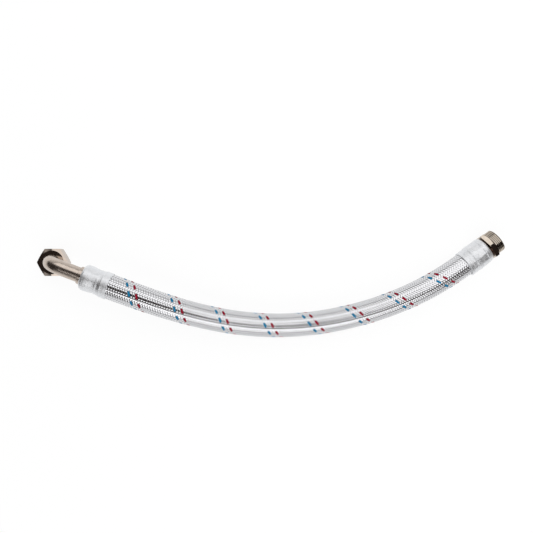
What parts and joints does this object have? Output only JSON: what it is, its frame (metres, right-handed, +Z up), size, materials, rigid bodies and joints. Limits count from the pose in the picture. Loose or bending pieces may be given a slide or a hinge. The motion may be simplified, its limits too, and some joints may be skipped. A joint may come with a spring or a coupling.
{
  "type": "braided supply line",
  "caption": "Flexible braided water hose with a right-angle bent tube and loose union nut on one end and a fixed threaded nipple on the other.",
  "frame": {"origin": "centre of the union nut's open mouth, on the surface that the nut stands on", "axes": "+Z up, along the union nut's axis and away from its mouth; +X along the hose's longest extent, towards the threaded nipple; the hose bows towards -Y"},
  "size_m": [0.6522, 0.1486, 0.0585],
  "materials": {
    "liner_rubber": "matte black",
    "braid_steel": "bright drawn wire",
    "tracer_blue": "coloured strand",
    "tracer_red": "coloured strand",
    "ferrule_metal": "satin, crimped",
    "nickel_plate": "satin nickel plate",
    "nickel_nut": "polished nickel plate",
    "nickel_nipple": "polished nickel plate",
    "gasket_rubber": "matte"
  },
  "bodies": {
    "hose": {"rubber_liner": "liner_rubber", "wire_braid": "braid_steel", "blue_tracer": "tracer_blue", "red_tracer": "tracer_red", "elbow_ferrule": "ferrule_metal", "nipple_ferrule": "ferrule_metal", "elbow_stem": "nickel_plate", "elbow_tube": "nickel_plate", "male_nipple": "nickel_nipple"},
    "gasket": {"nut_gasket": "gasket_rubber"},
    "nut": {"union_nut": "nickel_nut"}
  },
  "joints": [
    {"name": "nut_slide", "type": "slide", "parent": "hose", "child": "gasket", "axis": [0, 0, -1], "range_m": [0, 0.0024]},
    {"name": "nut_spin", "type": "hinge", "parent": "gasket", "child": "nut", "pos_m": [0, 0, 0], "axis": [0, 0, 1], "continuous": true}
  ]
}
